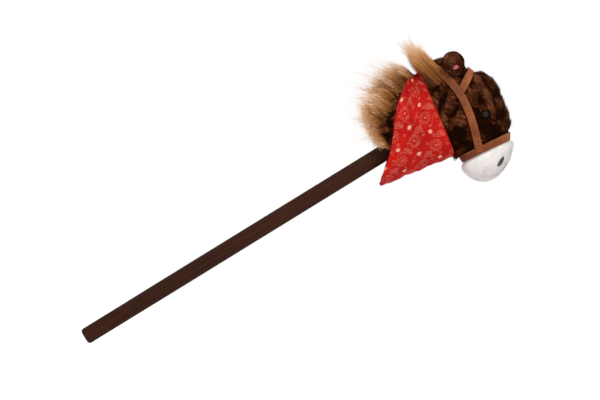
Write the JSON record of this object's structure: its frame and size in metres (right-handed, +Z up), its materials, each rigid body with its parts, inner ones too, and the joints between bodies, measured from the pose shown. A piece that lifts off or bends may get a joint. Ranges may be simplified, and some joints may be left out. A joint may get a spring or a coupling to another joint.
{
  "type": "hobby horse",
  "caption": "Plush hobby horse head on a round wooden stick, with a bridle, tied bandana, tufted mane and a press sound unit in the right ear.",
  "frame": {"origin": "centre of the flat foot at the stick's lower end", "axes": "+Z up the stick, +X the way the horse faces, +Y towards the horse's left side"},
  "size_m": [0.2306, 0.1399, 0.6993],
  "materials": {
    "plush_brown": "short pile plush",
    "plush_white": "short pile plush",
    "felt_tan": "matte brushed suede cloth",
    "cotton_red": "matte printed cotton",
    "hair_caramel": "long frizzy synthetic hair",
    "filling_white": "loose fibre filling",
    "pocket_fabric": "plain woven lining",
    "thread_grey": "satin stitch embroidery",
    "patch_pink": "flat felt patch",
    "wood_dark": "satin dark stain",
    "eye_black": "high gloss",
    "plastic_pale": "plain moulded",
    "plastic_red": "plain moulded",
    "board_green": "coated laminate",
    "metal_steel": "bare bright metal",
    "metal_brass": "bare bright metal"
  },
  "bodies": {
    "horse": {"stick": "wood_dark", "stick_sleeve": "pocket_fabric", "neck_tie": "plastic_pale", "neck_base": "plush_brown", "head_panel_right": "plush_brown", "head_panel_left": "plush_brown", "crown_gusset": "plush_brown", "muzzle_skin": "plush_white", "head_stuffing": "filling_white", "eye_right": "eye_black", "eye_left": "eye_black", "eye_washer_right": "plastic_pale", "eye_washer_left": "plastic_pale", "nostril_right": "thread_grey", "nostril_left": "thread_grey", "noseband": "felt_tan", "cheek_strap_right": "felt_tan", "cheek_strap_left": "felt_tan", "crown_strap": "felt_tan", "browband": "felt_tan", "bandana": "cotton_red", "mane_upper": "hair_caramel", "mane_lower": "hair_caramel", "ear_right": "plush_brown", "ear_left": "plush_brown", "ear_stuffing_right": "filling_white", "ear_stuffing_left": "filling_white", "case_front": "plastic_pale", "case_back": "plastic_pale", "circuit_board": "board_green", "battery_contact": "metal_steel", "cell_1": "metal_steel", "cell_2": "metal_steel", "cell_3": "metal_steel", "speaker_disc": "metal_brass", "button_spring": "metal_steel"},
    "press_button": {"sound_button": "plastic_red", "press_mark": "patch_pink"}
  },
  "joints": [
    {"name": "sound_press", "type": "slide", "parent": "horse", "child": "press_button", "axis": [-0.707, 0.7071, 0.0101], "range_m": [0, 0.0015], "stiffness_N_per_m": 600, "springref_m": -0.0006, "deforming": ["button_spring"]}
  ]
}
